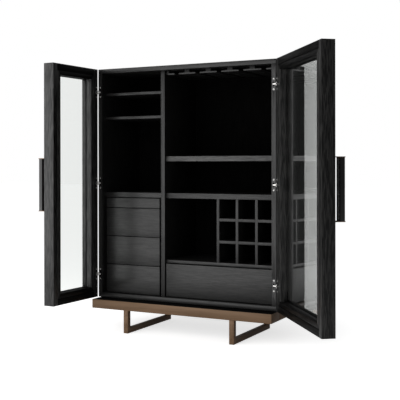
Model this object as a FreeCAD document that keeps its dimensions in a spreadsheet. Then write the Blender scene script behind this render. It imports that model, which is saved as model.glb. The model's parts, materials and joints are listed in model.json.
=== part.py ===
"""Two-door glazed bar cabinet on a sled base, as a parametric FreeCAD document.

Frame: +Z up, +Y to the back, origin on the floor under the middle of the base.
The doors stand open, each turned about its hinge pins; the drawers are pushed in.
"""

import FreeCAD, Part
import os
import re

# Driving dimensions, in millimetres and degrees
DIMENSIONS = {
    # carcass
    "width": 1170,
    "carcass_height": 1395,
    "carcass_depth": 460,
    "panel": 26,
    "back_thickness": 9,
    "back_inset": 12,
    "left_bay": 395,
    "divider_setback": 35,
    # shelves, with the mid shelf's height above the carcass underside and clear spaces for the rest
    "shelf_setback": 50,
    "shelf_thickness": 30,
    "slat_thickness": 16,
    "mid_shelf_top": 641,
    "bottle_space": 189,
    "tumbler_space": 118,
    "goblet_space": 130,
    # wine rack
    "rack_floor_top": 244,
    "rack_floor_thickness": 18,
    "rack_cell": 104.5,
    # stemware rails
    "rail_setback": 55,
    "flange_width": 110,
    "flange_thickness": 9,
    "web_width": 32,
    "web_height": 15,
    # drawers
    "drawer_reveal": 4,
    "drawer_side_gap": 10,
    "drawer_front": 16,
    "drawer_wall": 12,
    "drawer_bottom": 6,
    "drawer_back_gap": 18,
    "tray_height": 58,
    "tray_side_drop": 14,
    "drawer_side_drop": 27,
    "drawer_foot": 3,
    "bottom_lift": 7,
    "bottom_bite": 5,
    "runner_height": 14,
    "runner_bite": 5.5,
    "runner_clear": 0.3,
    "runner_end_clear": 0.5,
    # doors
    "door_gap": 4,
    "door_thickness": 69,
    "door_joint": 4,
    "left_door_width": 424,
    "stile": 65,
    "rebate": 28,
    "lip": 25,
    "glass": 6,
    "glass_clear": 2,
    "groove_width": 2.5,
    "groove_depth": 5,
    "left_door_angle": 92.35,
    "right_door_angle": 128,
    # hinges
    "hinge_offset": 1.5,
    "hinge_from_end": 140,
    "leaf_height": 76,
    "leaf_width": 18,
    "leaf_depth": 14,
    "mortise_clear": 0.2,
    "pocket_height": 26,
    "pocket_width": 11,
    "pocket_depth": 11,
    "finger_pitch": 7,
    "finger_height": 6.4,
    "finger_width": 8,
    "finger_thickness": 2.9,
    "pin_radius": 0.9,
    "pin_clear": 0.05,
    # handles
    "handle_height": 308,
    "handle_drop": 3,
    "handle_plate": 4,
    "handle_width": 52,
    "handle_bar": 26,
    "handle_round": 8,
    "handle_standoff": 30,
    "handle_inset": 18,
    # base
    "base_reach": 70,
    "base_rail_height": 53,
    "base_rail_width": 120,
    "base_wall": 5,
    "shadow_gap": 5,
    "spacer_width": 20,
    "spacer_inset": 10,
    "leg_spacing": 692,
    "leg_height": 135,
    "leg_width": 30,
}

# Places worked out from the driving dimensions
CARCASS_Z = "(leg_height + base_rail_height + shadow_gap)"
BASE_DEPTH = "(carcass_depth + base_reach)"
FRONT = "(base_reach / 2 - carcass_depth / 2)"
BACK = f"({FRONT} + carcass_depth)"
BACK_FACE = f"({BACK} - back_inset - back_thickness)"
SHELF_Y = f"({FRONT} + shelf_setback)"
SHELF_DEPTH = f"({BACK_FACE} - {SHELF_Y})"
INNER_LEFT = "(panel - width / 2)"
DIVIDER_LEFT = f"({INNER_LEFT} + left_bay)"
DIVIDER_RIGHT = f"({DIVIDER_LEFT} + panel)"
INNER_RIGHT = "(width / 2 - panel)"
RIGHT_BAY = f"({INNER_RIGHT} - {DIVIDER_RIGHT})"
MID_SHELF_UNDER = "(mid_shelf_top - shelf_thickness)"
BOTTLE_SHELF_TOP = "(mid_shelf_top + bottle_space + shelf_thickness)"
TUMBLER_SHELF_TOP = "(carcass_height - panel - tumbler_space)"
GOBLET_SHELF_TOP = f"({TUMBLER_SHELF_TOP} - slat_thickness - goblet_space)"
DRAWER_LENGTH = f"({BACK_FACE} - {FRONT} - divider_setback - drawer_front - drawer_back_gap)"
AXIS_Y = f"({FRONT} - door_gap / 2)"
BEAD_DEPTH = "(door_thickness - lip - glass)"
DOOR_WIDTH = {
    "left": "left_door_width",
    "right": "(width - left_door_width - door_joint)",
}
SIGN = {"left": "-1", "right": "1"}
ANGLE = {"left": "-left_door_angle", "right": "right_door_angle"}
UPRIGHT = {
    "x": "vector(1; 0; 0)",
    "y": "vector(0; 1; 0)",
    "z": "vector(0; 0; 1)",
}

doc = FreeCAD.newDocument("bar_cabinet")
sheet = doc.addObject("Spreadsheet::Sheet", "dims")
for row, (alias, value) in enumerate(DIMENSIONS.items(), start=1):
    sheet.set(f"A{row}", alias)
    sheet.set(f"B{row}", str(value))
    sheet.setAlias(f"B{row}", alias)
doc.recompute()

nodes = []


def bind(text):
    """The expression with each driving dimension read from the sheet."""

    def cell(found):
        word = found.group()
        return f"dims.{word}" if word in DIMENSIONS else word

    return re.sub(r"[a-z_]+", cell, str(text))


def turn(axis, degrees, about=("0", "0", "0")):
    """The expression of a turn about an axis through a point."""
    centre = "; ".join(about)
    return f"placement(vector(0; 0; 0); rotation({UPRIGHT[axis]}; {degrees}); vector({centre}))"


def shift(x, y, z):
    """The expression of a move."""
    return f"placement(vector({x}; {y}; {z}); rotation({UPRIGHT['z']}; 0))"


def place(item, text):
    item.setExpression("Placement", bind(text))
    return item


def box(corner, size):
    """A block from its lowest corner and its sizes along X, Y and Z."""
    item = doc.addObject("Part::Box", "block")
    for side, text in zip(("Length", "Width", "Height"), size):
        item.setExpression(side, bind(text))
    return place(item, shift(*corner))


def rod(centre, radius, length, axis):
    """A round bar that starts at centre and runs along the axis."""
    item = doc.addObject("Part::Cylinder", "rod")
    item.setExpression("Radius", bind(radius))
    item.setExpression("Height", bind(length))
    lay = {"y": turn("x", "-90"), "z": turn("z", "0")}[axis]
    return place(item, f"{shift(*centre)} * {lay}")


def fuse(*items):
    item = doc.addObject("Part::MultiFuse", "joined")
    item.Shapes = list(items)
    item.Refine = True
    return item


def cut(base, *tools):
    item = doc.addObject("Part::Cut", "cut")
    item.Base = base
    item.Tool = tools[0] if len(tools) == 1 else compound(*tools)
    item.Refine = True
    return item


def compound(*items):
    item = doc.addObject("Part::Compound", "group")
    item.Links = list(items)
    return item


def node(label, *items, at=None):
    """A named sub-part of one or more separate solids, with its place."""
    item = items[0] if len(items) == 1 and at is None else compound(*items)
    item.Label = label
    if at:
        place(item, at)
    nodes.append(item)
    return item


def carcass_panels():
    """Top and bottom over the sides, the divider, and the back between them."""
    side_z = f"{CARCASS_Z} + panel"
    side_height = "carcass_height - 2 * panel"
    flat = ("width", "carcass_depth", "panel")
    node("bottom_panel", box(("-width / 2", FRONT, CARCASS_Z), flat))
    node("top_panel", box(("-width / 2", FRONT, f"{CARCASS_Z} + carcass_height - panel"), flat))
    for side, x in (("left", "-width / 2"), ("right", INNER_RIGHT)):
        wall = box((x, FRONT, side_z), ("panel", "carcass_depth", side_height))
        mortises = [leaf_block(side, z, 1, "mortise_clear") for z in hinge_heights()]
        node(f"{side}_side_panel", cut(wall, *mortises))
    node("divider_panel", box(
        (DIVIDER_LEFT, f"{FRONT} + divider_setback", side_z),
        ("panel", f"{BACK_FACE} - {FRONT} - divider_setback", side_height),
    ))
    node("back_panel", box(
        (INNER_LEFT, BACK_FACE, side_z),
        ("width - 2 * panel", "back_thickness", side_height),
    ))


def shelf(x, span, top, thickness):
    """A fixed shelf from its left end, its span and the height of its top face."""
    return box((x, SHELF_Y, f"{CARCASS_Z} + {top} - {thickness}"), (span, SHELF_DEPTH, thickness))


def shelves():
    node("left_mid_shelf", shelf(INNER_LEFT, "left_bay", "mid_shelf_top", "shelf_thickness"))
    node("right_mid_shelf", shelf(DIVIDER_RIGHT, RIGHT_BAY, "mid_shelf_top", "shelf_thickness"))
    node("bottle_shelf", shelf(DIVIDER_RIGHT, RIGHT_BAY, BOTTLE_SHELF_TOP, "shelf_thickness"))
    node("tumbler_shelf", shelf(INNER_LEFT, "left_bay", TUMBLER_SHELF_TOP, "slat_thickness"))
    node("goblet_shelf", shelf(INNER_LEFT, "left_bay", GOBLET_SHELF_TOP, "slat_thickness"))


def wine_rack():
    """Three uprights and two shelves, halved into each other, on the rack floor."""
    node("rack_floor", shelf(DIVIDER_RIGHT, RIGHT_BAY, "rack_floor_top", "rack_floor_thickness"))
    columns = 3
    rows = 3
    rack_left = f"({INNER_RIGHT} - {columns} * (rack_cell + slat_thickness))"
    rack_z = f"({CARCASS_Z} + rack_floor_top)"
    rack_height = f"({MID_SHELF_UNDER} - rack_floor_top)"
    cell_height = f"(({rack_height} - {rows - 1} * slat_thickness) / {rows})"
    half = f"({SHELF_DEPTH} / 2)"
    shelf_z = [f"({rack_z} + {row} * {cell_height} + {row - 1} * slat_thickness)" for row in range(1, rows)]
    upright_x = [f"({rack_left} + {column} * (rack_cell + slat_thickness))" for column in range(columns)]

    uprights = []
    for column, x in enumerate(upright_x):
        board = box((x, SHELF_Y, rack_z), ("slat_thickness", SHELF_DEPTH, rack_height))
        if column:
            slots = [
                box((x, f"{SHELF_Y} + {half}", z), ("slat_thickness", half, "slat_thickness"))
                for z in shelf_z
            ]
            board = cut(board, *slots)
        uprights.append(board)
    node("rack_uprights", *uprights)

    boards = []
    span = f"{columns} * rack_cell + {columns - 1} * slat_thickness"
    for z in shelf_z:
        board = box((f"{rack_left} + slat_thickness", SHELF_Y, z), (span, SHELF_DEPTH, "slat_thickness"))
        slots = [
            box((x, SHELF_Y, z), ("slat_thickness", half, "slat_thickness")) for x in upright_x[1:]
        ]
        boards.append(cut(board, *slots))
    node("rack_shelves", *boards)


def stemware_rails():
    """Inverted T rails under the top, with a half rail at each end of the bay."""
    slots = 5
    pitch = f"({RIGHT_BAY} / {slots})"
    under = f"({CARCASS_Z} + carcass_height - panel)"
    y = f"({FRONT} + rail_setback)"
    depth = f"({BACK_FACE} - {y})"
    rails = []
    for place_number in range(slots + 1):
        at_left = place_number == 0
        at_end = at_left or place_number == slots
        share = 0.5 if at_end else 1
        middle = f"({DIVIDER_RIGHT} + {place_number} * {pitch})"
        lead = 0 if at_left else 0.5
        web = box(
            (f"{middle} - {lead} * web_width", y, f"{under} - web_height"),
            (f"{share} * web_width", depth, "web_height"),
        )
        flange = box(
            (f"{middle} - {lead} * flange_width", y, f"{under} - web_height - flange_thickness"),
            (f"{share} * flange_width", depth, "flange_thickness"),
        )
        rails.append(fuse(web, flange))
    node("stemware_rails", *rails)


def drawer(label, bay_left, bay_span, bottom, height, side_drop):
    """A drawer whose grooved sides hang on two runners; returns the runners."""
    x = f"({bay_left} + drawer_side_gap)"
    span = f"({bay_span} - 2 * drawer_side_gap)"
    y = f"({FRONT} + divider_setback)"
    inside_y = f"({y} + drawer_front)"
    z = f"({CARCASS_Z} + {bottom})"
    side_z = f"({z} + drawer_foot)"
    side_height = f"({height} - drawer_foot - {side_drop})"
    runner_z = f"({side_z} + {side_height} / 2 - runner_height / 2)"
    bottom_z = f"({side_z} + bottom_lift)"

    node(f"{label}_front", box((x, y, z), (span, "drawer_front", height)))

    sides = []
    runners = []
    right_x = f"({x} + {span} - drawer_wall)"
    groove = "(runner_bite + runner_end_clear)"
    runner_size = (
        "drawer_side_gap + runner_bite",
        f"{BACK_FACE} - {inside_y} - runner_end_clear",
        "runner_height",
    )
    for left, side_x in ((True, x), (False, right_x)):
        wall = box((side_x, inside_y, side_z), ("drawer_wall", DRAWER_LENGTH, side_height))
        groove_x = side_x if left else f"({side_x} + drawer_wall - {groove})"
        bite_x = f"({side_x} + drawer_wall - bottom_bite)" if left else side_x
        runner_slot = box(
            (groove_x, inside_y, f"{runner_z} - runner_clear"),
            (groove, DRAWER_LENGTH, "runner_height + 2 * runner_clear"),
        )
        bottom_slot = box((bite_x, inside_y, bottom_z), ("bottom_bite", DRAWER_LENGTH, "drawer_bottom"))
        sides.append(cut(wall, runner_slot, bottom_slot))
        runner_x = bay_left if left else f"({bay_left} + {bay_span} - drawer_side_gap - runner_bite)"
        runners.append(box((runner_x, f"{inside_y} + runner_end_clear", runner_z), runner_size))
    node(f"{label}_sides", *sides)

    between = f"({span} - 2 * drawer_wall)"
    base_top = f"({bottom_z} + drawer_bottom)"
    node(f"{label}_back", box(
        (f"{x} + drawer_wall", f"{inside_y} + {DRAWER_LENGTH} - drawer_wall", base_top),
        (between, "drawer_wall", f"{side_z} + {side_height} - {base_top}"),
    ))
    node(f"{label}_bottom", box(
        (f"{x} + drawer_wall - bottom_bite", inside_y, bottom_z),
        (f"{between} + 2 * bottom_bite", DRAWER_LENGTH, "drawer_bottom"),
    ))
    return runners


def drawers():
    """A shallow tray over three deep drawers on the left, one wide drawer on the right."""
    deep = 3
    stack_top = f"({MID_SHELF_UNDER} - drawer_reveal)"
    tray_bottom = f"({stack_top} - tray_height)"
    deep_height = f"(({tray_bottom} - panel - {deep + 1} * drawer_reveal) / {deep})"
    runners = drawer("tray_drawer", INNER_LEFT, "left_bay", tray_bottom, "tray_height", "tray_side_drop")
    for place_number, name in enumerate(("upper", "middle", "lower"), start=1):
        bottom = f"({tray_bottom} - {place_number} * ({deep_height} + drawer_reveal))"
        runners += drawer(f"{name}_drawer", INNER_LEFT, "left_bay", bottom, deep_height, "drawer_side_drop")
    wide_bottom = "(panel + drawer_reveal)"
    wide_height = f"(rack_floor_top - rack_floor_thickness - drawer_reveal - {wide_bottom})"
    runners += drawer(
        "wide_drawer", DIVIDER_RIGHT, RIGHT_BAY, wide_bottom, wide_height, "drawer_side_drop"
    )
    node("drawer_runners", *runners)


def base():
    """Rails folded open to the inside, set-back spacers under the carcass, and two sled legs."""
    rail_z = "leg_height"
    end_y = f"({BASE_DEPTH} / 2 - base_rail_width)"
    hollow_z = f"({rail_z} + base_wall)"
    hollow_height = "(base_rail_height - 2 * base_wall)"
    hollow_width = "(base_rail_width - base_wall)"
    for name, y, hollow_y in (
        ("front", f"-{BASE_DEPTH} / 2", f"base_wall - {BASE_DEPTH} / 2"),
        ("back", end_y, end_y),
    ):
        rail = box(("-width / 2", y, rail_z), ("width", "base_rail_width", "base_rail_height"))
        hollow = box(
            ("base_wall - width / 2", hollow_y, hollow_z),
            ("width - 2 * base_wall", hollow_width, hollow_height),
        )
        node(f"base_{name}_rail", cut(rail, hollow))
    side_rails = []
    right_x = "(width / 2 - base_rail_width)"
    for x, hollow_x in (("-width / 2", "base_wall - width / 2"), (right_x, right_x)):
        rail = box((x, f"-{end_y}", rail_z), ("base_rail_width", f"2 * {end_y}", "base_rail_height"))
        hollow = box((hollow_x, f"-{end_y}", hollow_z), (hollow_width, f"2 * {end_y}", hollow_height))
        side_rails.append(cut(rail, hollow))
    node("base_side_rails", *side_rails)

    spacer_z = f"({rail_z} + base_rail_height)"
    spacer_x = "(spacer_inset - width / 2)"
    spacer_y = f"({FRONT} + spacer_inset)"
    reach_x = "(width - 2 * spacer_inset)"
    reach_y = "(carcass_depth - 2 * spacer_inset)"
    long_spacer = (reach_x, "spacer_width", "shadow_gap")
    short_spacer = ("spacer_width", f"{reach_y} - 2 * spacer_width", "shadow_gap")
    node(
        "base_spacers",
        box((spacer_x, spacer_y, spacer_z), long_spacer),
        box((spacer_x, f"{spacer_y} + {reach_y} - spacer_width", spacer_z), long_spacer),
        box((spacer_x, f"{spacer_y} + spacer_width", spacer_z), short_spacer),
        box((f"-{spacer_x} - spacer_width", f"{spacer_y} + spacer_width", spacer_z), short_spacer),
    )
    for side in ("left", "right"):
        x = f"({SIGN[side]} * leg_spacing / 2 - leg_width / 2)"
        front_y = f"(-{BASE_DEPTH} / 2)"
        post = ("leg_width", "leg_width", "leg_height")
        front_leg = box((x, front_y, "0"), post)
        rear_leg = box((x, f"-{front_y} - leg_width", "0"), post)
        runner = box((x, front_y, "0"), ("leg_width", BASE_DEPTH, "leg_width"))
        node(f"{side}_sled", fuse(front_leg, rear_leg, runner))


def hinge_heights():
    """The middles of a door's three hinges."""
    low = f"({CARCASS_Z} + hinge_from_end)"
    middle = f"({CARCASS_Z} + carcass_height / 2)"
    high = f"({CARCASS_Z} + carcass_height - hinge_from_end)"
    return low, middle, high


def leaf_block(side, z, facing, clear="0"):
    """A round-ended hinge leaf; facing is 1 into the carcass and -1 into the closed door."""
    x = f"({SIGN[side]} * (width / 2 - panel / 2))"
    radius = f"(leaf_width / 2 + {clear})"
    depth = f"(leaf_depth + {clear})"
    straight = "(leaf_height - leaf_width)"
    y = FRONT if facing > 0 else f"({FRONT} - door_gap - {depth})"
    middle = box((f"{x} - {radius}", y, f"{z} - {straight} / 2"), (f"2 * {radius}", depth, straight))
    ends = [rod((x, y, f"{z} {sign} {straight} / 2"), radius, depth, "y") for sign in "+-"]
    return fuse(middle, *ends)


def hinge_leaf(side, z, facing):
    """A mortised leaf with its pocket and the knuckle fingers that reach the pin."""
    x = f"({SIGN[side]} * (width / 2 - panel / 2))"
    axis_x = f"({SIGN[side]} * (width / 2 + hinge_offset))"
    face_y = FRONT if facing > 0 else f"({FRONT} - door_gap)"
    pocket_y = face_y if facing > 0 else f"({face_y} - pocket_depth)"
    pocket = box(
        (f"{x} - pocket_width / 2", pocket_y, f"{z} - pocket_height / 2"),
        ("pocket_width", "pocket_depth", "pocket_height"),
    )
    pieces = [cut(leaf_block(side, z, facing), pocket)]
    arm_y = f"({AXIS_Y} - finger_thickness / 2)"
    reach = f"({axis_x} - {x} + {SIGN[side]} * finger_width / 2)"
    levels = (0,) if facing > 0 else (-1, 1)
    for level in levels:
        finger_z = f"({z} + {level} * finger_pitch - finger_height / 2)"
        root_y = arm_y if facing > 0 else pocket_y
        root_depth = "(door_gap / 2 + finger_thickness / 2 + pocket_depth)"
        root_x = f"({x} - finger_width / 2)"
        root = box((root_x, root_y, finger_z), ("finger_width", root_depth, "finger_height"))
        arm_x = root_x if side == "right" else axis_x
        arm = box((arm_x, arm_y, finger_z), (f"{SIGN[side]} * {reach}", "finger_thickness", "finger_height"))
        knuckle = rod((axis_x, AXIS_Y, finger_z), "finger_thickness / 2", "finger_height", "z")
        pieces += [root, arm, knuckle]
    bore = rod((axis_x, AXIS_Y, f"{z} - pocket_height / 2"), "pin_radius + pin_clear", "pocket_height", "z")
    return cut(fuse(*pieces), bore)


def hinges():
    """Carcass leaves and the pins; the door leaves belong to the doors."""
    leaves = []
    pins = []
    pin_length = "(2 * finger_pitch + finger_height)"
    for side in ("left", "right"):
        axis_x = f"({SIGN[side]} * (width / 2 + hinge_offset))"
        for z in hinge_heights():
            leaves.append(hinge_leaf(side, z, 1))
            pins.append(rod((axis_x, AXIS_Y, f"{z} - {pin_length} / 2"), "pin_radius", pin_length, "z"))
    node("carcass_hinge_leaves", *leaves)
    node("hinge_pins", *pins)


def across(side, start, end):
    """Lowest X and length of a stretch of the closed door, measured from its hinge edge."""
    low = f"(width / 2 - ({end}))" if side == "right" else f"({start} - width / 2)"
    return low, f"(({end}) - ({start}))"


def door_box(side, stretch, depth, rise):
    """A block of the closed door: along it, from its inner face outwards, and upwards."""
    x, length = across(side, *stretch)
    inner, outer = depth
    low, high = rise
    return box(
        (x, f"{FRONT} - door_gap - ({outer})", f"{CARCASS_Z} + ({low})"),
        (length, f"({outer}) - ({inner})", f"({high}) - ({low})"),
    )


def round_bar(side, stretch, depth, rise):
    """An upright door_box with its four upright edges rounded."""
    start, end = stretch
    inner, outer = depth
    low, high = rise
    near = (f"{start} + handle_round", f"{end} - handle_round")
    deep = (f"{inner} + handle_round", f"{outer} - handle_round")
    corners = []
    for along in near:
        x, _ = across(side, along, along)
        for out in deep:
            foot = (x, f"{FRONT} - door_gap - ({out})", f"{CARCASS_Z} + ({low})")
            corners.append(rod(foot, "handle_round", f"({high}) - ({low})", "z"))
    return fuse(door_box(side, near, depth, rise), door_box(side, stretch, deep, rise), *corners)


def glazing_bead(along, away, angle, centre):
    """One mitred bead with a shadow groove along its outer edge."""
    block = doc.addObject("Part::Wedge", "bead")
    sizes = {
        "Xmin": "0", "Xmax": along, "X2min": "rebate", "X2max": f"{along} - rebate",
        "Ymin": "0", "Ymax": "rebate",
        "Zmin": "0", "Zmax": BEAD_DEPTH, "Z2min": "0", "Z2max": BEAD_DEPTH,
    }
    for side, text in sizes.items():
        block.setExpression(side, bind(text))
    bead = cut(block, box(("0", "0", "0"), (along, "groove_width", "groove_depth")))
    edge = f"{shift(f'-{along} / 2', '0', f'-{away}')} * {turn('x', '90')}"
    return place(bead, f"{shift(*centre)} * {turn('y', angle)} * {edge}")


def door(side):
    """A stile and rail frame, glass held by mitred beads, a bar handle and hinge leaves."""
    breadth = DOOR_WIDTH[side]
    height = "carcass_height"
    swing = turn("z", ANGLE[side], (f"{SIGN[side]} * (width / 2 + hinge_offset)", AXIS_Y, "0"))
    narrow = "(stile - rebate)"
    lip_depth = ("door_thickness - lip", "door_thickness")
    back_depth = ("0", "door_thickness - lip")

    def piece(name, *items):
        node(f"{side}_door_{name}", *items, at=swing)

    def stile(start, narrow_start):
        front = door_box(side, (start, f"{start} + stile"), lip_depth, ("0", height))
        back = door_box(side, (narrow_start, f"{narrow_start} + {narrow}"), back_depth, ("0", height))
        return fuse(front, back)

    mortises = [leaf_block(side, z, -1, "mortise_clear") for z in hinge_heights()]
    piece("hinge_stile", cut(stile("0", "0"), *mortises))
    piece("free_stile", stile(f"{breadth} - stile", f"{breadth} - {narrow}"))

    rails = []
    for low, narrow_low in (("0", "0"), (f"{height} - stile", f"{height} - {narrow}")):
        front = door_box(side, ("stile", f"{breadth} - stile"), lip_depth, (low, f"{low} + stile"))
        back = door_box(
            side, (narrow, f"{breadth} - {narrow}"), back_depth, (narrow_low, f"{narrow_low} + {narrow}")
        )
        rails.append(fuse(front, back))
    piece("rails", *rails)

    edge = f"({narrow} + glass_clear)"
    glass_depth = (BEAD_DEPTH, f"{BEAD_DEPTH} + glass")
    piece("glass", door_box(side, (edge, f"{breadth} - {edge}"), glass_depth, (edge, f"{height} - {edge}")))

    wide = f"({breadth} - 2 * {narrow})"
    tall = f"({height} - 2 * {narrow})"
    middle_x = f"({SIGN[side]} * (width / 2 - {breadth} / 2))"
    centre = (middle_x, f"{FRONT} - door_gap", f"{CARCASS_Z} + {height} / 2")
    beads = [
        glazing_bead(along, f"{away} / 2", angle, centre)
        for along, away, angle in ((wide, tall, 0), (tall, wide, 90), (wide, tall, 180), (tall, wide, 270))
    ]
    piece("glazing_beads", *beads)

    grip = (f"{breadth} - handle_inset - handle_width", f"{breadth} - handle_inset")
    low = f"({height} / 2 - handle_drop - handle_height / 2)"
    high = f"({low} + handle_height)"
    bar_out = "(door_thickness + handle_standoff)"
    far = f"({bar_out} + handle_bar)"
    piece("handle_bar", round_bar(
        side, grip, (bar_out, far), (f"{low} + handle_plate", f"{high} - handle_plate")
    ))
    piece("handle_plates", *[
        door_box(side, grip, ("door_thickness", far), rise)
        for rise in ((low, f"{low} + handle_plate"), (f"{high} - handle_plate", high))
    ])
    piece("hinge_leaves", *[hinge_leaf(side, z, -1) for z in hinge_heights()])


def check_and_write():
    """Every object is up to date and every sub-part valid before a file is written."""
    doc.recompute()
    for item in doc.Objects:
        if "Invalid" in item.State or "Error" in item.State:
            raise RuntimeError(f"{item.Name} failed: {item.State}")
    for item in nodes:
        shape = item.Shape
        if shape.isNull() or not shape.isValid() or not shape.Solids:
            raise RuntimeError(f"{item.Label} has no valid shape")
    os.makedirs("parts", exist_ok=True)
    for item in nodes:
        item.Shape.exportStep(os.path.join("parts", f"{item.Label}.step"))
    solids = sum(len(item.Shape.Solids) for item in nodes)
    print(f"{len(nodes)} sub-parts, {solids} solids")


carcass_panels()
shelves()
wine_rack()
stemware_rails()
drawers()
base()
hinges()
door("left")
door("right")
check_and_write()
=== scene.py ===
"""Looks of the two-door bar cabinet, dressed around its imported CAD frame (metres, +Z up, +Y to the back)."""

import json
import math

import bpy
from mathutils import Matrix, Vector

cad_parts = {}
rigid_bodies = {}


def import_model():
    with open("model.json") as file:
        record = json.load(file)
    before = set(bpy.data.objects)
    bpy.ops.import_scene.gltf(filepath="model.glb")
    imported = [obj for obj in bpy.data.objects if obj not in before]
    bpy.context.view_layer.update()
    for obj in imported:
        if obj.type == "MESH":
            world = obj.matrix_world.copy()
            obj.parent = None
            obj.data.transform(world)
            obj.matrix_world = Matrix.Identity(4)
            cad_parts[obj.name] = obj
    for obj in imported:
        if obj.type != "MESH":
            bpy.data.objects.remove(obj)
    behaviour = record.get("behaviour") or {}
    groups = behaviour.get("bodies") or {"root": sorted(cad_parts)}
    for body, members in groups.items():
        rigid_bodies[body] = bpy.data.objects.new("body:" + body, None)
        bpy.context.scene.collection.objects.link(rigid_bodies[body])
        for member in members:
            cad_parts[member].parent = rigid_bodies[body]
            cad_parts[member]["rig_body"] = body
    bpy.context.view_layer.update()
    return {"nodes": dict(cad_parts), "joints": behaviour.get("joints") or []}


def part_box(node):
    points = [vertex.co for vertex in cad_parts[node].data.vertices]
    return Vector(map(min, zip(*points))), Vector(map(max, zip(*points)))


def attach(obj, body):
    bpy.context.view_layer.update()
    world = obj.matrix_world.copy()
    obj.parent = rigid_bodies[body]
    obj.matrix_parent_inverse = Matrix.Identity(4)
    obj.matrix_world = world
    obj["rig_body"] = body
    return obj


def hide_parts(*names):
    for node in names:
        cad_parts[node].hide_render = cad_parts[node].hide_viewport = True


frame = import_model()

# Sled base
# The base is welded from bronze-brown steel: a frame of four rails under the carcass, and two U-shaped
# sleds of square bar. Its satin finish is brushed along each bar. The rails' tops are matt black as painted
# shade, so that the gap under the carcass stays dark.
WELD_ROUND = 0.0012
EDGE_SEGMENTS = 2
SHARP_ANGLE = math.radians(35)
FLAT_ANGLE = math.radians(1)
MERGE_DISTANCE = 1e-5
FACING_UP = 0.9
BRONZE_SHADE = (0.112, 0.067, 0.038, 1)
BRONZE_LIGHT = (0.173, 0.107, 0.063, 1)
BRUSHING_SHARE = 0.45
# Tones of the painted shade on the rails' tops.
GAP_SHADE_DARKER = 0.002
GAP_SHADE_LIGHTER = 0.004


class Value:
    """One output of a node tree, with arithmetic that adds Math nodes."""

    def __init__(self, tree, socket):
        self.tree = tree
        self.socket = socket

    def math(self, operation, *values):
        """A Math node on these values."""
        return self.tree.add("ShaderNodeMath", {"operation": operation}, dict(enumerate(values)))

    def __add__(self, other):
        return self.math("ADD", self, other)

    __radd__ = __add__

    def __sub__(self, other):
        return self.math("SUBTRACT", self, other)

    def __rsub__(self, other):
        return self.math("SUBTRACT", other, self)

    def __mul__(self, other):
        return self.math("MULTIPLY", self, other)

    __rmul__ = __mul__

    def __pow__(self, other):
        return self.math("POWER", self, other)


class Tree:
    """The node tree of a material or a world, built up node by node."""

    def __init__(self, owner):
        owner.use_nodes = True
        self.nodes = owner.node_tree.nodes
        self.links = owner.node_tree.links

    def plug(self, socket, value):
        """Links a value to a socket, or sets a plain number or colour on it."""
        if isinstance(value, Value):
            self.links.new(value.socket, socket)
        else:
            socket.default_value = value

    def add(self, kind, settings, sockets, output=0):
        """A node of that kind: its settings first, then the values or links of its sockets."""
        node = self.nodes.new(kind)
        for name, setting in settings.items():
            setattr(node, name, setting)
        for name, value in sockets.items():
            self.plug(node.inputs[name], value)
        return Value(self, node.outputs[output])


class Finish(Tree):
    """A material around one Principled shader."""

    def __init__(self, name):
        self.material = bpy.data.materials.new(name)
        super().__init__(self.material)
        self.shader = self.nodes["Principled BSDF"]
        self.output = self.nodes["Material Output"]

    def surface(self, **sockets):
        """Sets the Principled shader's sockets, written with _ for a space."""
        for name, value in sockets.items():
            self.plug(self.shader.inputs[name.replace("_", " ")], value)
        return self.material

    def streaks(self, along, thickness, length, turn=0.0, detail=2.0):
        """Noise drawn out along one axis, with streaks of that thickness and length in metres."""
        place = self.add("ShaderNodeTexCoord", {}, {}, "Object")
        turned = self.add("ShaderNodeMapping", {}, {"Vector": place, "Rotation": (0, 0, turn)})
        scale = [1 / (length if axis == along else thickness) for axis in "xyz"]
        drawn = self.add("ShaderNodeMapping", {}, {"Vector": turned, "Scale": scale})
        return self.add("ShaderNodeTexNoise", {}, {"Vector": drawn, "Scale": 1.0, "Detail": detail})

    def ease(self, value, low, high, start=0.0, end=1.0):
        """A smooth step of value from low to high, onto start to end."""
        span = {"Value": value, "From Min": low, "From Max": high, "To Min": start, "To Max": end}
        return self.add("ShaderNodeMapRange", {"interpolation_type": "SMOOTHSTEP"}, span)

    def tint(self, factor, first, second):
        """A colour between first and second."""
        return self.add("ShaderNodeMix", {"data_type": "RGBA"}, {0: factor, 6: first, 7: second}, 2)

    def bump(self, height, distance, strength):
        """Normals bent by a relief that is that distance deep, in metres."""
        return self.add("ShaderNodeBump", {}, {"Height": height, "Distance": distance, "Strength": strength})


def grey(tone):
    """A neutral colour."""
    return (tone, tone, tone, 1)


def bronze(name, along):
    """Bronze-brown metal with a satin brushing that runs along one axis."""
    finish = Finish(name)
    brushing = finish.streaks(along, thickness=0.0009, length=0.09)
    cloud = finish.streaks(along, thickness=0.02, length=0.35)
    shade = finish.ease(brushing * BRUSHING_SHARE + cloud * (1 - BRUSHING_SHARE), low=0.3, high=0.7)
    return finish.surface(
        Base_Color=finish.tint(shade, BRONZE_SHADE, BRONZE_LIGHT),
        Metallic=0.15,
        Specular_IOR_Level=0.15,
        Roughness=finish.ease(brushing, low=0.25, high=0.75, start=0.36, end=0.5),
        Normal=finish.bump(brushing, distance=0.00006, strength=0.6),
    )


def painted_gap_shade():
    """Painted shade: matt black with a faint roller texture, for faces in the shadow gap under the carcass."""
    finish = Finish("painted_gap_shade")
    roller = finish.streaks("x", thickness=0.002, length=0.003)
    return finish.surface(
        Base_Color=finish.tint(roller, grey(GAP_SHADE_DARKER), grey(GAP_SHADE_LIGHTER)),
        Specular_IOR_Level=0.05,
        Roughness=finish.ease(roller, low=0.3, high=0.7, start=0.7, end=0.85),
        Normal=finish.bump(roller, distance=0.00005, strength=0.4),
    )


def linked(name, data):
    """A new object of the scene, at the origin."""
    item = bpy.data.objects.new(name, data)
    bpy.context.collection.objects.link(item)
    return item


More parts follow.
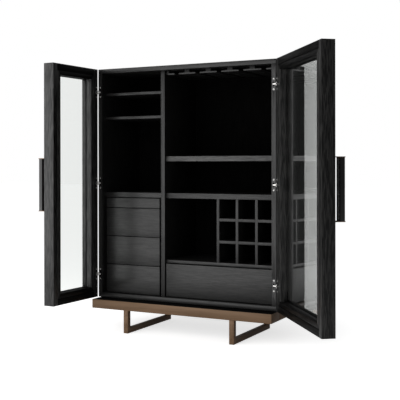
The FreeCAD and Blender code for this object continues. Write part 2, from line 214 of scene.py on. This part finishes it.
def ease_edges(piece, radius, segments=EDGE_SEGMENTS):
    """Takes the sharp edges off the active piece."""
    edge = piece.modifiers.new("eased_edge", "BEVEL")
    edge.width = radius
    edge.segments = segments
    edge.limit_method = "ANGLE"
    edge.angle_limit = SHARP_ANGLE
    bpy.ops.object.modifier_apply(modifier=edge.name)
    bpy.ops.object.shade_smooth_by_angle(angle=SHARP_ANGLE)


def stand_for(piece, node, *materials):
    """Finishes a piece, and puts it in a CAD node's place on that node's body."""
    piece.data.materials.clear()
    for material in materials:
        piece.data.materials.append(material)
    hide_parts(node)
    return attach(piece, frame["nodes"][node]["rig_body"])


def eased(node, radius, *materials, segments=EDGE_SEGMENTS):
    """A copy of a CAD node with its sharp edges taken off, which stands for that node."""
    bpy.ops.object.select_all(action="DESELECT")
    piece = linked(f"{node}_eased", frame["nodes"][node].data.copy())
    bpy.context.view_layer.objects.active = piece
    piece.select_set(True)
    bpy.ops.mesh.customdata_custom_splitnormals_clear()
    bpy.ops.object.mode_set(mode="EDIT")
    bpy.ops.mesh.select_all(action="SELECT")
    bpy.ops.mesh.remove_doubles(threshold=MERGE_DISTANCE)
    bpy.ops.mesh.dissolve_limited(angle_limit=FLAT_ANGLE)
    bpy.ops.object.mode_set(mode="OBJECT")
    ease_edges(piece, radius, segments)
    return stand_for(piece, node, *materials)


def second_finish(piece, chosen):
    """Gives a piece's second material to the faces that chosen takes, and its first to the others."""
    for face in piece.data.polygons:
        face.material_index = int(chosen(face))


bronze_x = bronze("bronze_brushed_x", "x")
bronze_y = bronze("bronze_brushed_y", "y")
gap_shade_finish = painted_gap_shade()
for name, metal in (("front_rail", bronze_x), ("back_rail", bronze_x), ("side_rails", bronze_y)):
    shaded_rail = eased(f"base_{name}", WELD_ROUND, metal, gap_shade_finish)
    # The rails' upward faces take the painted shade of the gap under the carcass.
    second_finish(shaded_rail, lambda face: face.normal.z > FACING_UP)
for name in ("left_sled", "right_sled"):
    eased(name, WELD_ROUND, bronze_y)

# Carcass
# Panels of black-stained oak with an open grain under a satin lacquer: top and bottom over the sides, a
# divider between the bays, and a thin back let in behind. The back's inner face and the spacers under the
# bottom are stained darker and left matt, as painted shade.
PANEL_ROUND = 0.0008
CALM_FIGURE = {"width": 0.0036, "length": 0.108, "blend": 0.16}
RING_SHARE = 0.88
PALE_STREAK = 0.012
DARK_STREAK = 0.0066
WARM_GREY = (1, 0.98, 0.95)
PORE_COLOUR = 0.001
PORE_ROUGHNESS = 0.2
PORE_DULLNESS = 0.5
RING_RELIEF = 0.6
# A darker matt stain that stands for shade: painted shade on the back's inner face and the spacers.
PAINTED_SHADE_STAIN = {"pale": 0.003, "dark": 0.0016, "lacquer": 0.0}


def oak(name, along, turn=0.0, pale=PALE_STREAK, dark=DARK_STREAK, figure=CALM_FIGURE, lacquer=1.0):
    """Black-stained open-pore oak in pale and dark streaks that run along one axis, turned about Z."""
    finish = Finish(name)
    vessels = finish.streaks(along, thickness=0.0014, length=0.04, turn=turn)
    pores = finish.ease(vessels, low=0.55, high=0.66)
    rings = finish.streaks(along, figure["width"], figure["length"], turn, detail=3.0)
    board = finish.streaks(along, thickness=0.03, length=0.7, turn=turn)
    grain = rings * RING_SHARE + board * (1 - RING_SHARE)
    shade = finish.ease(grain, low=0.5 - figure["blend"], high=0.5 + figure["blend"])
    sheen = finish.ease(grain, low=0.34, high=0.66)
    pale_colour = (*(pale * share for share in WARM_GREY), 1)
    streaks = finish.tint(shade, grey(dark), pale_colour)
    polish = finish.ease(sheen - pores * PORE_DULLNESS, low=0, high=1, start=0.36, end=0.47)
    return finish.surface(
        Base_Color=finish.tint(pores, streaks, grey(PORE_COLOUR)),
        Specular_IOR_Level=0.12 * lacquer,
        Roughness=finish.ease(sheen, low=0, high=1, start=0.44, end=0.36) + pores * PORE_ROUGHNESS,
        Coat_Weight=polish * lacquer,
        Coat_Roughness=0.3,
        Normal=finish.bump(rings * RING_RELIEF - pores, distance=0.00025, strength=0.5),
    )


oak_x = oak("black_oak_x", "x")
oak_z = oak("black_oak_z", "z")
painted_shade_oak_z = oak("painted_shade_oak_z", "z", **PAINTED_SHADE_STAIN)
eased("base_spacers", PANEL_ROUND, painted_shade_oak_z)
for name in ("bottom_panel", "top_panel"):
    eased(name, PANEL_ROUND, oak_x)
for name in ("left_side_panel", "right_side_panel", "divider_panel"):
    eased(name, PANEL_ROUND, oak_z)
back = eased("back_panel", PANEL_ROUND, oak_z, painted_shade_oak_z)
# The back's inner face, towards the front, takes the painted shade.
second_finish(back, lambda face: face.normal.y < 0)

# Shelves, rack and hanging rails
# Boards of the same oak, fixed between the panels. The bottle shelf's oak is lighter, as painted light. The
# rack's uprights and shelves are halved into each other, and the rails under the top are inverted T sections.
# A lighter stain that stands for light on the bottle shelf's front edge: painted light.
PAINTED_LIGHT_STAIN = {"pale": 0.052, "dark": 0.03}
oak_y = oak("black_oak_y", "y")
for name in ("left_mid_shelf", "right_mid_shelf", "tumbler_shelf", "goblet_shelf"):
    eased(name, PANEL_ROUND, oak_x)
eased("bottle_shelf", PANEL_ROUND, oak("lit_shelf_oak_x", "x", **PAINTED_LIGHT_STAIN))
for name in ("rack_floor", "rack_shelves"):
    eased(name, PANEL_ROUND, oak_x)
eased("rack_uprights", PANEL_ROUND, oak_z)
eased("stemware_rails", PANEL_ROUND, oak_y)

# Drawers
# Each drawer is an oak box with a plain overlaid front and no pull. Its sides are grooved to run on
# wooden battens that are fixed to the panels.
FRONT_ROUND = 0.0009
for drawer in ("tray_drawer", "upper_drawer", "middle_drawer", "lower_drawer", "wide_drawer"):
    eased(f"{drawer}_front", FRONT_ROUND, oak_x)
    eased(f"{drawer}_sides", PANEL_ROUND, oak_y)
    eased(f"{drawer}_back", PANEL_ROUND, oak_x)
    eased(f"{drawer}_bottom", PANEL_ROUND, oak_y)
eased("drawer_runners", PANEL_ROUND, oak_y)

# Door frames
# Stiles and coped rails of thick black oak, with mitred beads that hold the glass from inside. The rails'
# grain runs along the door, so their finish is turned with the angle at which the door stands. The rails and
# level beads are darker and duller than the stiles, as painted shade for their weaker sheen across the light.
SIDES = ("left", "right")
FRAME_ROUND = 0.0012
BEAD_ROUND = 0.0008
BOLD_FIGURE = {"width": 0.005, "length": 0.07, "blend": 0.05}
STILE_STAIN = {"pale": 0.024, "dark": 0.0005, "figure": BOLD_FIGURE}
# The rails' darker stain is painted shade.
SHADED_RAIL_STAIN = {"pale": 0.0072, "dark": 0.0001, "lacquer": 0.3}
hinge_of = {joint["child"]: joint for joint in frame["joints"] if joint["type"] == "hinge"}


def opened(side):
    """The turn about the door's hinge that takes it from shut to where it stands, and its angle."""
    joint = hinge_of[f"{side}_door"]
    angle = -math.radians(joint["range_deg"][0]) * joint["axis"][2]
    centre = Matrix.Translation(joint["pos_m"])
    return centre @ Matrix.Rotation(angle, 4, "Z") @ centre.inverted(), angle


def shut_corners(side, node):
    """Lowest and highest corner of a door's node with the door shut."""
    turn, _ = opened(side)
    points = [turn.inverted() @ vertex.co for vertex in frame["nodes"][node].data.vertices]
    low = Vector(min(point[axis] for point in points) for axis in range(3))
    high = Vector(max(point[axis] for point in points) for axis in range(3))
    return low, high


def upright_bead(side):
    """A test that tells the faces of a door's upright beads from those of its level ones."""
    turn, _ = opened(side)
    low, high = shut_corners(side, f"{side}_door_glazing_beads")
    middle = (low + high) / 2

    def nearer_the_side(face):
        reach = turn.inverted() @ face.center - middle
        return high.x - middle.x - abs(reach.x) < high.z - middle.z - abs(reach.z)

    return nearer_the_side


oak_stile = oak("door_oak_stile", "z", **STILE_STAIN)
for side in SIDES:
    _, angle = opened(side)
    shaded_oak_rail = oak(f"door_oak_{side}_rail", "x", turn=-angle, **SHADED_RAIL_STAIN)
    for name in ("hinge_stile", "free_stile"):
        eased(f"{side}_door_{name}", FRAME_ROUND, oak_stile)
    eased(f"{side}_door_rails", FRAME_ROUND, shaded_oak_rail)
    beads = eased(f"{side}_door_glazing_beads", BEAD_ROUND, shaded_oak_rail, oak_stile)
    # Level beads take the rails' painted shade, upright beads the stiles' oak.
    second_finish(beads, upright_bead(side))

# Door glass
# One clear pane in each door, held between the frame's lip and the beads. Seen at a slant it
# reflects more than it lets through.
GLASS_ROUND = 0.0006
GLASS_TINT = (0.928, 0.938, 0.93, 1)
SLANT_POWER = 6
SLANT_SHINE = 4.1
FACING_SHINE = 0.015


def pane_glass():
    """Thin clear glass: it lets the view through unbent, and shines more at a slant."""
    finish = Finish("clear_pane")
    slant = finish.add("ShaderNodeLayerWeight", {}, {"Blend": 0.5}, "Facing")
    shine = slant ** SLANT_POWER * SLANT_SHINE + FACING_SHINE
    share = finish.add("ShaderNodeClamp", {}, {"Value": shine})
    clear = finish.add("ShaderNodeBsdfTransparent", {}, {"Color": GLASS_TINT})
    gloss = finish.add("ShaderNodeBsdfGlossy", {}, {"Color": grey(1), "Roughness": 0.0})
    pane = finish.add("ShaderNodeMixShader", {}, {0: share, 1: clear, 2: gloss})
    finish.plug(finish.output.inputs["Surface"], pane)
    return finish.material


clear_pane = pane_glass()
for side in SIDES:
    eased(f"{side}_door_glass", GLASS_ROUND, clear_pane, segments=1)

# Handles
# A black bar stands off each door between two bronze end plates. Its back is flat towards the door,
# and its two outer edges are broadly rounded for the hand.
PLATE_ROUND = 0.0006
GRIP_ROUND = 0.009
GRIP_SEGMENTS = 8
LACQUER_SHADE = 0.0006
LACQUER_LIGHT = 0.0014


def black_lacquer():
    """Black satin lacquer with a faint orange-peel."""
    finish = Finish("black_lacquer")
    peel = finish.streaks("z", thickness=0.004, length=0.006)
    return finish.surface(
        Base_Color=finish.tint(peel, grey(LACQUER_SHADE), grey(LACQUER_LIGHT)),
        Specular_IOR_Level=0.47,
        Roughness=finish.ease(peel, low=0.3, high=0.7, start=0.15, end=0.19),
        Normal=finish.bump(peel, distance=0.00004, strength=0.3),
    )


def pick(piece, kind, chosen):
    """Opens the active piece for editing, with only the edges or polygons selected that chosen takes."""
    bpy.context.tool_settings.mesh_select_mode = (False, kind == "edges", kind == "polygons")
    bpy.ops.object.mode_set(mode="EDIT")
    bpy.ops.mesh.select_all(action="DESELECT")
    bpy.ops.object.mode_set(mode="OBJECT")
    for element in getattr(piece.data, kind):
        element.select = chosen(element)
    bpy.ops.object.mode_set(mode="EDIT")


def grip_bar(side, material):
    """A door's handle bar, made with the door shut and then turned with it."""
    node = f"{side}_door_handle_bar"
    low, high = shut_corners(side, node)
    middle = (low + high) / 2
    bpy.ops.object.select_all(action="DESELECT")
    bpy.ops.mesh.primitive_cube_add(size=1, location=middle, scale=high - low)
    bar = bpy.context.active_object
    bar.name = f"{node}_eased"
    bpy.ops.object.transform_apply()

    def outer_upright(edge):
        first, second = (bar.data.vertices[index].co for index in edge.vertices)
        return first.z != second.z and first.y < middle.y

    pick(bar, "edges", outer_upright)
    bpy.ops.mesh.bevel(offset=GRIP_ROUND, segments=GRIP_SEGMENTS, affect="EDGES")
    bpy.ops.object.mode_set(mode="OBJECT")
    ease_edges(bar, PLATE_ROUND)
    bar.matrix_world, _ = opened(side)
    bpy.ops.object.transform_apply()
    return stand_for(bar, node, material)


lacquer = black_lacquer()
for side in SIDES:
    grip_bar(side, lacquer)
    eased(f"{side}_door_handle_plates", PLATE_ROUND, bronze_x)

# Hinges
# Cast leaves are let into the carcass edge and the door stile, three to a door. Two sunk nickel
# screws hold each black plate, and bright fingers stand out from it and meet on a steel pin.
LEAF_ROUND = 0.0004
PIN_LENGTH = 0.0204
SCREW_REACH = 0.029
SCREW_SIDES = 20
SCREW_RADIUS = 0.0042
SCREW_DEPTH = 0.002
SCREW_PROUD = 0.0003
SOCKET_RIM = 0.0018
SOCKET_SLOPE = 0.0005
SOCKET_DEPTH = 0.0011
NICKEL_SHADE = (0.62, 0.61, 0.59, 1)
NICKEL_LIGHT = (0.74, 0.73, 0.71, 1)


def nickel():
    """Satin nickel with a fine cast grain."""
    finish = Finish("satin_nickel")
    grain = finish.streaks("z", thickness=0.0008, length=0.0016)
    return finish.surface(
        Base_Color=finish.tint(grain, NICKEL_SHADE, NICKEL_LIGHT),
        Metallic=0.5,
        Roughness=finish.ease(grain, low=0.3, high=0.7, start=0.3, end=0.4),
        Normal=finish.bump(grain, distance=0.00003, strength=0.5),
    )


def screw_head():
    """A round screw head with a recessed socket, standing on the origin and facing -Y."""
    bpy.ops.object.select_all(action="DESELECT")
    bpy.ops.mesh.primitive_cylinder_add(vertices=SCREW_SIDES, radius=SCREW_RADIUS, depth=SCREW_DEPTH)
    head = bpy.context.active_object
    pick(head, "polygons", lambda face: face.normal.z > FACING_UP)
    bpy.ops.mesh.inset(thickness=SOCKET_RIM)
    bpy.ops.mesh.inset(thickness=SOCKET_SLOPE, depth=-SOCKET_DEPTH)
    bpy.ops.object.mode_set(mode="OBJECT")
    head.location.y = SCREW_DEPTH / 2 - SCREW_PROUD
    head.rotation_euler.x = math.radians(90)
    bpy.ops.object.transform_apply()
    return head


def screws(body, places, material):
    """The screws of one body, each at its place, joined to one piece."""
    first = screw_head()
    copies = [linked(f"{body}_screw", first.data.copy()) for _ in places[1:]]
    for head, place in zip([first, *copies], places):
        head.matrix_world = place
        head.select_set(True)
    bpy.ops.object.transform_apply()
    bpy.ops.object.join()
    first.name = f"{body}_hinge_screws"
    first.data.materials.append(material)
    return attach(first, body)


def hinge_heights():
    """The heights of a door's three hinges, from the lowest and the highest pin."""
    low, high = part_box("hinge_pins")
    lowest = low[2] + PIN_LENGTH / 2
    highest = high[2] - PIN_LENGTH / 2
    return lowest, (lowest + highest) / 2, highest


def screw_places(side, y, facing):
    """Where a shut door's screws or its carcass side's stand, facing -Y or turned to face +Y."""
    low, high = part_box(f"{side}_side_panel")
    middle = (low[0] + high[0]) / 2
    turned = Matrix.Rotation(0 if facing < 0 else math.pi, 4, "Z")
    heights = [height + reach for height in hinge_heights() for reach in (-SCREW_REACH, SCREW_REACH)]
    return [Matrix.Translation((middle, y, height)) @ turned for height in heights]


def finger(turn, plate_y, facing):
    """A test for the faces that stand in front of a leaf's plate, once the door is turned back shut."""
    return lambda face: ((turn.inverted() @ face.center).y - plate_y) * facing > MERGE_DISTANCE


satin_nickel = nickel()
edge_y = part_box("left_side_panel")[0][1]
leaves = eased("carcass_hinge_leaves", LEAF_ROUND, lacquer, satin_nickel, segments=1)
second_finish(leaves, finger(Matrix(), edge_y, -1))
edge_places = [place for side in SIDES for place in screw_places(side, edge_y, -1)]
screws("carcass", edge_places, satin_nickel)
for side in SIDES:
    turn, _ = opened(side)
    plate_y = shut_corners(side, f"{side}_door_hinge_stile")[1].y
    leaves = eased(f"{side}_door_hinge_leaves", LEAF_ROUND, lacquer, satin_nickel, segments=1)
    second_finish(leaves, finger(turn, plate_y, 1))
    screws(f"{side}_door", [turn @ place for place in screw_places(side, plate_y, 1)], satin_nickel)
pins = frame["nodes"]["hinge_pins"]
pins.data.materials.clear()
pins.data.materials.append(satin_nickel)

# Studio
# A pale floor and a white background, under one broad soft lamp. The floor's glow carries a painted shadow
# near the cabinet, and a painted pool of light near the lamp in reflections. The camera stands to the right of
# the cabinet, about a metre up, and looks back at its front.
IMAGE_SIZE = 400
FOCAL_PIXELS = 834.8
OPTICAL_CENTRE = (199.144, 164.228)
SENSOR_WIDTH = 36.0
CAMERA_PLACE = (2.3016, -4.4854, 1.0055)
CAMERA_HEADING = math.radians(27.061)
CAMERA_ROLL = math.radians(-0.069)
SOFTBOX_PLACE = (-0.83, -2.24, 1.2)
SOFTBOX_HEADING = math.radians(-27)
SOFTBOX_WIDTH = 4.2
SOFTBOX_HEIGHT = 2.4
SOFTBOX_WATTS = 82
FLOOR_SIZE = 60.0
FLOOR_COLOUR = 0.9
CABINET_FOOT = (0, 0, 0)
# The floor's glow is lower near the cabinet's foot, as a painted shadow.
PAINTED_SHADOW_GLOW = 0.68
FAR_GLOW = 0.93
PAINTED_SHADOW_SPAN = (0.3, 1.2)
LAMP_FOOT = (*SOFTBOX_PLACE[:2], 0)
# In a gloss the floor glows brighter near the lamp's foot, as a painted pool of light.
PAINTED_POOL_GLOSS = 0.85
FLOOR_GLOSS = 0.15
PAINTED_POOL_SPAN = (0.8, 2.2)
WORLD_GLOSS = 0.1
AMBIENT = 0.12


def level(place, heading):
    """Where a camera or a lamp stands that looks level, along +Y turned by its heading."""
    upright = Matrix.Rotation(math.radians(90), 4, "X")
    return Matrix.Translation(place) @ Matrix.Rotation(heading, 4, "Z") @ upright


def on_show(tree, share):
    """1 for rays that see the background, straight or through glass, and a share for rays off a gloss."""
    kinds = [f"Is {ray} Ray" for ray in ("Camera", "Transmission", "Glossy")]
    straight, through, gloss = (tree.add("ShaderNodeLightPath", {}, {}, kind) for kind in kinds)
    return straight.math("MAXIMUM", straight.math("MAXIMUM", straight, through), gloss * share)


def around(finish, foot, span, inside, outside):
    """A value that goes from inside to outside over a span of distances from a foot on the floor."""
    place = finish.add("ShaderNodeTexCoord", {}, {}, "Object")
    away = finish.add("ShaderNodeVectorMath", {"operation": "DISTANCE"}, {0: place, 1: foot}, "Value")
    return finish.ease(away, *span, inside, outside)


def pale_floor():
    """White floor paint that glows for the background, with less glow near the cabinet's foot as a painted
    shadow, and a brighter gloss near the lamp's foot as a painted pool of light.
    """
    finish = Finish("pale_floor")
    # Painted shadow: less glow near the cabinet's foot.
    shadowed_glow = around(finish, CABINET_FOOT, PAINTED_SHADOW_SPAN, PAINTED_SHADOW_GLOW, FAR_GLOW)
    # Painted pool of light: brighter in a gloss near the lamp's foot.
    gloss = around(finish, LAMP_FOOT, PAINTED_POOL_SPAN, PAINTED_POOL_GLOSS, FLOOR_GLOSS)
    return finish.surface(
        Base_Color=grey(FLOOR_COLOUR),
        Roughness=0.9,
        Specular_IOR_Level=0.0,
        Emission_Color=on_show(finish, gloss) * shadowed_glow,
        Emission_Strength=1.0,
    )


camera = bpy.data.cameras.new("camera")
camera.sensor_width = SENSOR_WIDTH
camera.lens = FOCAL_PIXELS / IMAGE_SIZE * SENSOR_WIDTH
camera.shift_x = 0.5 - OPTICAL_CENTRE[0] / IMAGE_SIZE
camera.shift_y = OPTICAL_CENTRE[1] / IMAGE_SIZE - 0.5
viewer = linked("camera", camera)
viewer.matrix_world = level(CAMERA_PLACE, CAMERA_HEADING) @ Matrix.Rotation(CAMERA_ROLL, 4, "Z")
scene = bpy.context.scene
scene.camera = viewer
scene.view_settings.view_transform = "Standard"

bpy.ops.mesh.primitive_plane_add(size=FLOOR_SIZE)
floor = bpy.context.active_object
floor.name = "studio_floor"
floor.data.materials.append(pale_floor())

lamp = bpy.data.lights.new("front_softbox", "AREA")
lamp.shape = "RECTANGLE"
lamp.size = SOFTBOX_WIDTH
lamp.size_y = SOFTBOX_HEIGHT
lamp.energy = SOFTBOX_WATTS
softbox = linked("front_softbox", lamp)
softbox.matrix_world = level(SOFTBOX_PLACE, SOFTBOX_HEADING)
softbox.visible_camera = False

scene.world = bpy.data.worlds.new("studio")
studio = Tree(scene.world)
background = studio.nodes["Background"]
studio.plug(background.inputs["Color"], grey(1))
studio.plug(background.inputs["Strength"], on_show(studio, WORLD_GLOSS) * (1 - AMBIENT) + AMBIENT)
